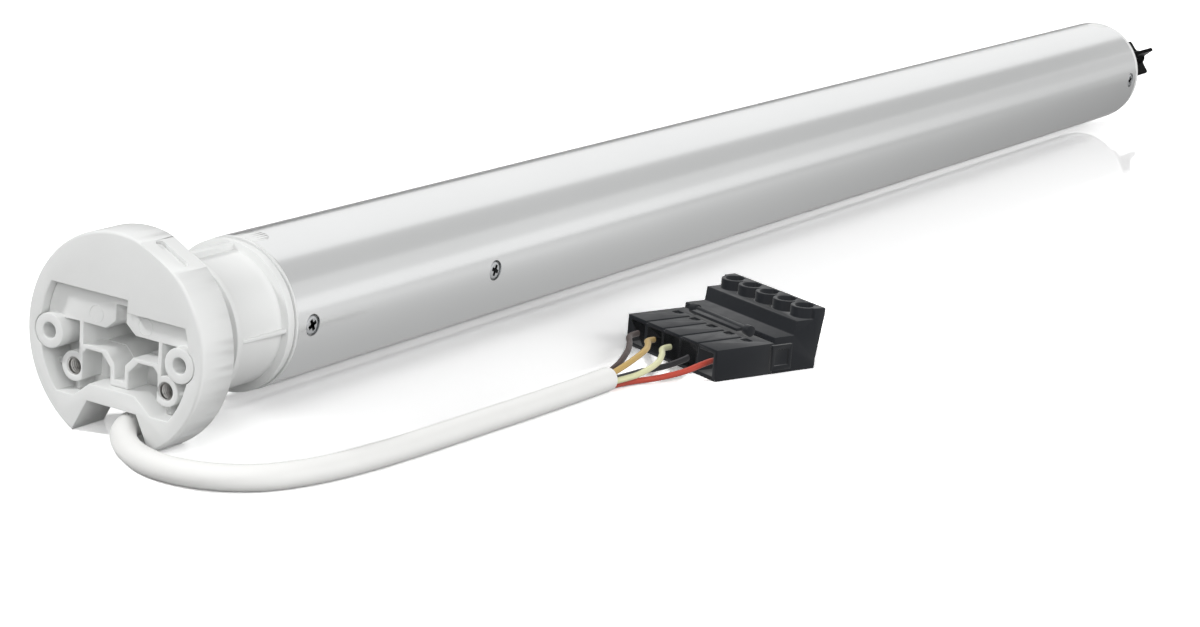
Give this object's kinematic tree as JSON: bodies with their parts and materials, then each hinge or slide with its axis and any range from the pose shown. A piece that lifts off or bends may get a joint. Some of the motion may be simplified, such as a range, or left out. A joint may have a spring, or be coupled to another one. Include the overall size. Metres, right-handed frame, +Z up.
{
  "type": "tubular roller blind motor",
  "caption": "Tubular roller blind motor: aluminium tube with a moulded head, free turning crown, geared star shaft and a short cable with plug.",
  "frame": {"origin": "midway between the two fixing holes of the head, on the motor's axis and on the mounting face", "axes": "+X along the motor's axis to the output shaft, +Z up with the motor lying on its head's two feet, -Y towards the cable"},
  "size_m": [0.7967, 0.142, 0.061],
  "materials": {
    "white_plastic": "moulded satin polyamide",
    "tube_aluminium": "anodised satin",
    "insert_steel": "zinc plated",
    "screw_steel": "zinc plated",
    "gear_steel": "sintered and oiled",
    "dark_steel": "blackened",
    "cast_aluminium": "die cast",
    "iron_sheet": "laminated sheet",
    "copper_wire": "enamelled",
    "brass": "plain",
    "brake_lining": "pressed lining",
    "rubber_black": "moulded",
    "grey_plastic": "moulded",
    "black_plastic": "moulded polyamide",
    "circuit_board": "solder resist",
    "cable_sheath": "soft extruded sheath",
    "wire_brown": "extruded",
    "wire_yellow": "extruded",
    "wire_white": "extruded",
    "wire_black": "extruded",
    "wire_red": "extruded"
  },
  "bodies": {
    "root": {"head_cover": "white_plastic", "head_body": "white_plastic", "threaded_inserts": "insert_steel", "button_switch": "dark_steel", "tube_plug": "white_plastic", "motor_tube": "tube_aluminium", "tube_screws": "screw_steel", "cable_plug": "white_plastic", "strain_relief": "cable_sheath", "power_cable": "cable_sheath", "wire_brown": "wire_brown", "wire_yellow": "wire_yellow", "wire_white": "wire_white", "wire_black": "wire_black", "wire_red": "wire_red", "plug_housing": "black_plastic", "terminal_housing": "black_plastic", "side_clips": "black_plastic", "terminal_screws": "screw_steel", "wire_clamps": "brass", "control_board": "circuit_board", "board_carrier": "grey_plastic", "run_capacitor": "grey_plastic", "capacitor_rings": "rubber_black", "motor_flanges": "cast_aluminium", "motor_bearings": "screw_steel", "stator_core": "iron_sheet", "stator_windings": "copper_wire", "brake_coil": "dark_steel", "brake_plate": "gear_steel", "ring_gear": "gear_steel", "end_cap": "white_plastic", "output_bush": "brass", "end_plate": "dark_steel"},
    "rotor": {"rotor_core": "iron_sheet", "rotor_shaft": "gear_steel", "brake_disc": "brake_lining"},
    "stage1": {"stage1_carrier": "gear_steel"},
    "stage2": {"stage2_carrier": "gear_steel"},
    "output": {"output_carrier": "gear_steel", "output_shaft": "dark_steel"},
    "crown": {"idler_crown": "white_plastic"},
    "button": {"programming_button": "white_plastic"},
    "armature": {"brake_armature": "gear_steel"},
    "latch": {"latch_lever": "black_plastic"},
    "planet1a": {"stage1_planet_a": "brass"},
    "planet1b": {"stage1_planet_b": "brass"},
    "planet1c": {"stage1_planet_c": "brass"},
    "planet2a": {"stage2_planet_a": "brass"},
    "planet2b": {"stage2_planet_b": "brass"},
    "planet2c": {"stage2_planet_c": "brass"},
    "planet3a": {"stage3_planet_a": "brass"},
    "planet3b": {"stage3_planet_b": "brass"},
    "planet3c": {"stage3_planet_c": "brass"}
  },
  "joints": [
    {"name": "rotor_spin", "type": "hinge", "parent": "root", "child": "rotor", "pos_m": [0.46, 0, 0], "axis": [1, 0, 0], "continuous": true},
    {"name": "stage1_spin", "type": "hinge", "parent": "root", "child": "stage1", "pos_m": [0.625, 0, 0], "axis": [1, 0, 0], "continuous": true},
    {"name": "stage2_spin", "type": "hinge", "parent": "root", "child": "stage2", "pos_m": [0.645, 0, 0], "axis": [1, 0, 0], "continuous": true},
    {"name": "output_spin", "type": "hinge", "parent": "root", "child": "output", "pos_m": [0.7, 0, 0], "axis": [1, 0, 0], "continuous": true},
    {"name": "crown_spin", "type": "hinge", "parent": "root", "child": "crown", "pos_m": [0.04, 0, 0], "axis": [1, 0, 0], "continuous": true},
    {"name": "button_press", "type": "slide", "parent": "root", "child": "button", "axis": [0, 0.4462, -0.8949], "range_m": [0, 0.0008], "stiffness_N_per_m": 800, "springref_m": -0.0005},
    {"name": "brake_release", "type": "slide", "parent": "root", "child": "armature", "axis": [-1, 0, 0], "range_m": [0, 0.0005], "stiffness_N_per_m": 4000, "springref_m": -0.001},
    {"name": "latch_press", "type": "hinge", "parent": "root", "child": "latch", "pos_m": [0.21163, -0.07888, -0.0149], "axis": [-0.3584, -0.9336, 0], "range_deg": [0, 8], "stiffness_Nm_per_rad": 0.05, "springref_deg": -5.73},
    {"name": "planet1a_spin", "type": "hinge", "parent": "stage1", "child": "planet1a", "pos_m": [0.6125, 0.01215, 0], "axis": [1, 0, 0], "continuous": true},
    {"name": "planet1b_spin", "type": "hinge", "parent": "stage1", "child": "planet1b", "pos_m": [0.6125, -0.00607, 0.01052], "axis": [1, 0, 0], "continuous": true},
    {"name": "planet1c_spin", "type": "hinge", "parent": "stage1", "child": "planet1c", "pos_m": [0.6125, -0.00607, -0.01052], "axis": [1, 0, 0], "continuous": true},
    {"name": "planet2a_spin", "type": "hinge", "parent": "stage2", "child": "planet2a", "pos_m": [0.634, 0.01215, 0], "axis": [1, 0, 0], "continuous": true},
    {"name": "planet2b_spin", "type": "hinge", "parent": "stage2", "child": "planet2b", "pos_m": [0.634, -0.00607, 0.01052], "axis": [1, 0, 0], "continuous": true},
    {"name": "planet2c_spin", "type": "hinge", "parent": "stage2", "child": "planet2c", "pos_m": [0.634, -0.00607, -0.01052], "axis": [1, 0, 0], "continuous": true},
    {"name": "planet3a_spin", "type": "hinge", "parent": "output", "child": "planet3a", "pos_m": [0.662, 0.01215, 0], "axis": [1, 0, 0], "continuous": true},
    {"name": "planet3b_spin", "type": "hinge", "parent": "output", "child": "planet3b", "pos_m": [0.662, -0.00607, 0.01052], "axis": [1, 0, 0], "continuous": true},
    {"name": "planet3c_spin", "type": "hinge", "parent": "output", "child": "planet3c", "pos_m": [0.662, -0.00607, -0.01052], "axis": [1, 0, 0], "continuous": true}
  ],
  "couplings": [
    {"joint": "stage1_spin", "follows": "rotor_spin", "ratio": 0.22222},
    {"joint": "stage2_spin", "follows": "rotor_spin", "ratio": 0.049383},
    {"joint": "output_spin", "follows": "rotor_spin", "ratio": 0.010974},
    {"joint": "planet1a_spin", "follows": "rotor_spin", "ratio": -0.62222},
    {"joint": "planet1b_spin", "follows": "rotor_spin", "ratio": -0.62222},
    {"joint": "planet1c_spin", "follows": "rotor_spin", "ratio": -0.62222},
    {"joint": "planet2a_spin", "follows": "rotor_spin", "ratio": -0.13827},
    {"joint": "planet2b_spin", "follows": "rotor_spin", "ratio": -0.13827},
    {"joint": "planet2c_spin", "follows": "rotor_spin", "ratio": -0.13827},
    {"joint": "planet3a_spin", "follows": "rotor_spin", "ratio": -0.030727},
    {"joint": "planet3b_spin", "follows": "rotor_spin", "ratio": -0.030727},
    {"joint": "planet3c_spin", "follows": "rotor_spin", "ratio": -0.030727}
  ]
}
